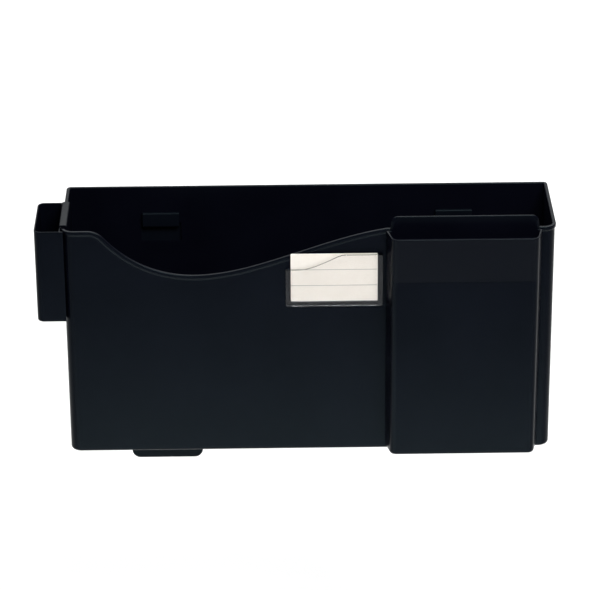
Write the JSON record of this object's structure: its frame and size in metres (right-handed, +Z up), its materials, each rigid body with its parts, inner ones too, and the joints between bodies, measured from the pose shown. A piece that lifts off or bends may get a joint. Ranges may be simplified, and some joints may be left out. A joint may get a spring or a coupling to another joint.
{
  "type": "hanging file rack",
  "caption": "Wall-hung open file pocket with a wave-cut front, a hooked-on pencil cup and supply pocket, a clear label holder and two wall hangers.",
  "frame": {"origin": "on the wall, in the middle of the file pocket's width, level with the underside of its floor", "axes": "+Z up, +Y into the wall, +X to the right as seen from the front"},
  "size_m": [0.414, 0.1411, 0.2632],
  "materials": {
    "black_plastic": "satin gloss, near-black with a blue cast",
    "hanger_plastic": "satin, near-black",
    "clear_plastic": "clear, polished",
    "card": "uncoated ivory card with thin ruled lines",
    "steel": "zinc plated"
  },
  "bodies": {
    "wall_hangers": {"wall_hanger_left": "hanger_plastic", "wall_hanger_right": "hanger_plastic", "screw_left_lower": "steel", "screw_left_upper": "steel", "screw_right_lower": "steel", "screw_right_upper": "steel"},
    "file_pocket": {"file_pocket": "black_plastic", "label_holder": "clear_plastic"},
    "pencil_cup": {"pencil_cup": "black_plastic"},
    "supply_pocket": {"supply_pocket": "black_plastic"},
    "label_card": {"label_card": "card"}
  },
  "joints": [
    {"name": "pocket_lift", "type": "slide", "parent": "wall_hangers", "child": "file_pocket", "axis": [0, 0, 1], "range_m": [0, 0.012]},
    {"name": "cup_lift", "type": "slide", "parent": "file_pocket", "child": "pencil_cup", "axis": [0, 0, 1], "range_m": [0, 0.03]},
    {"name": "supply_pocket_lift", "type": "slide", "parent": "file_pocket", "child": "supply_pocket", "axis": [0, 0, 1], "range_m": [0, 0.03]},
    {"name": "card_slide", "type": "slide", "parent": "file_pocket", "child": "label_card", "axis": [0, 0, 1], "range_m": [0, 0.05]}
  ]
}
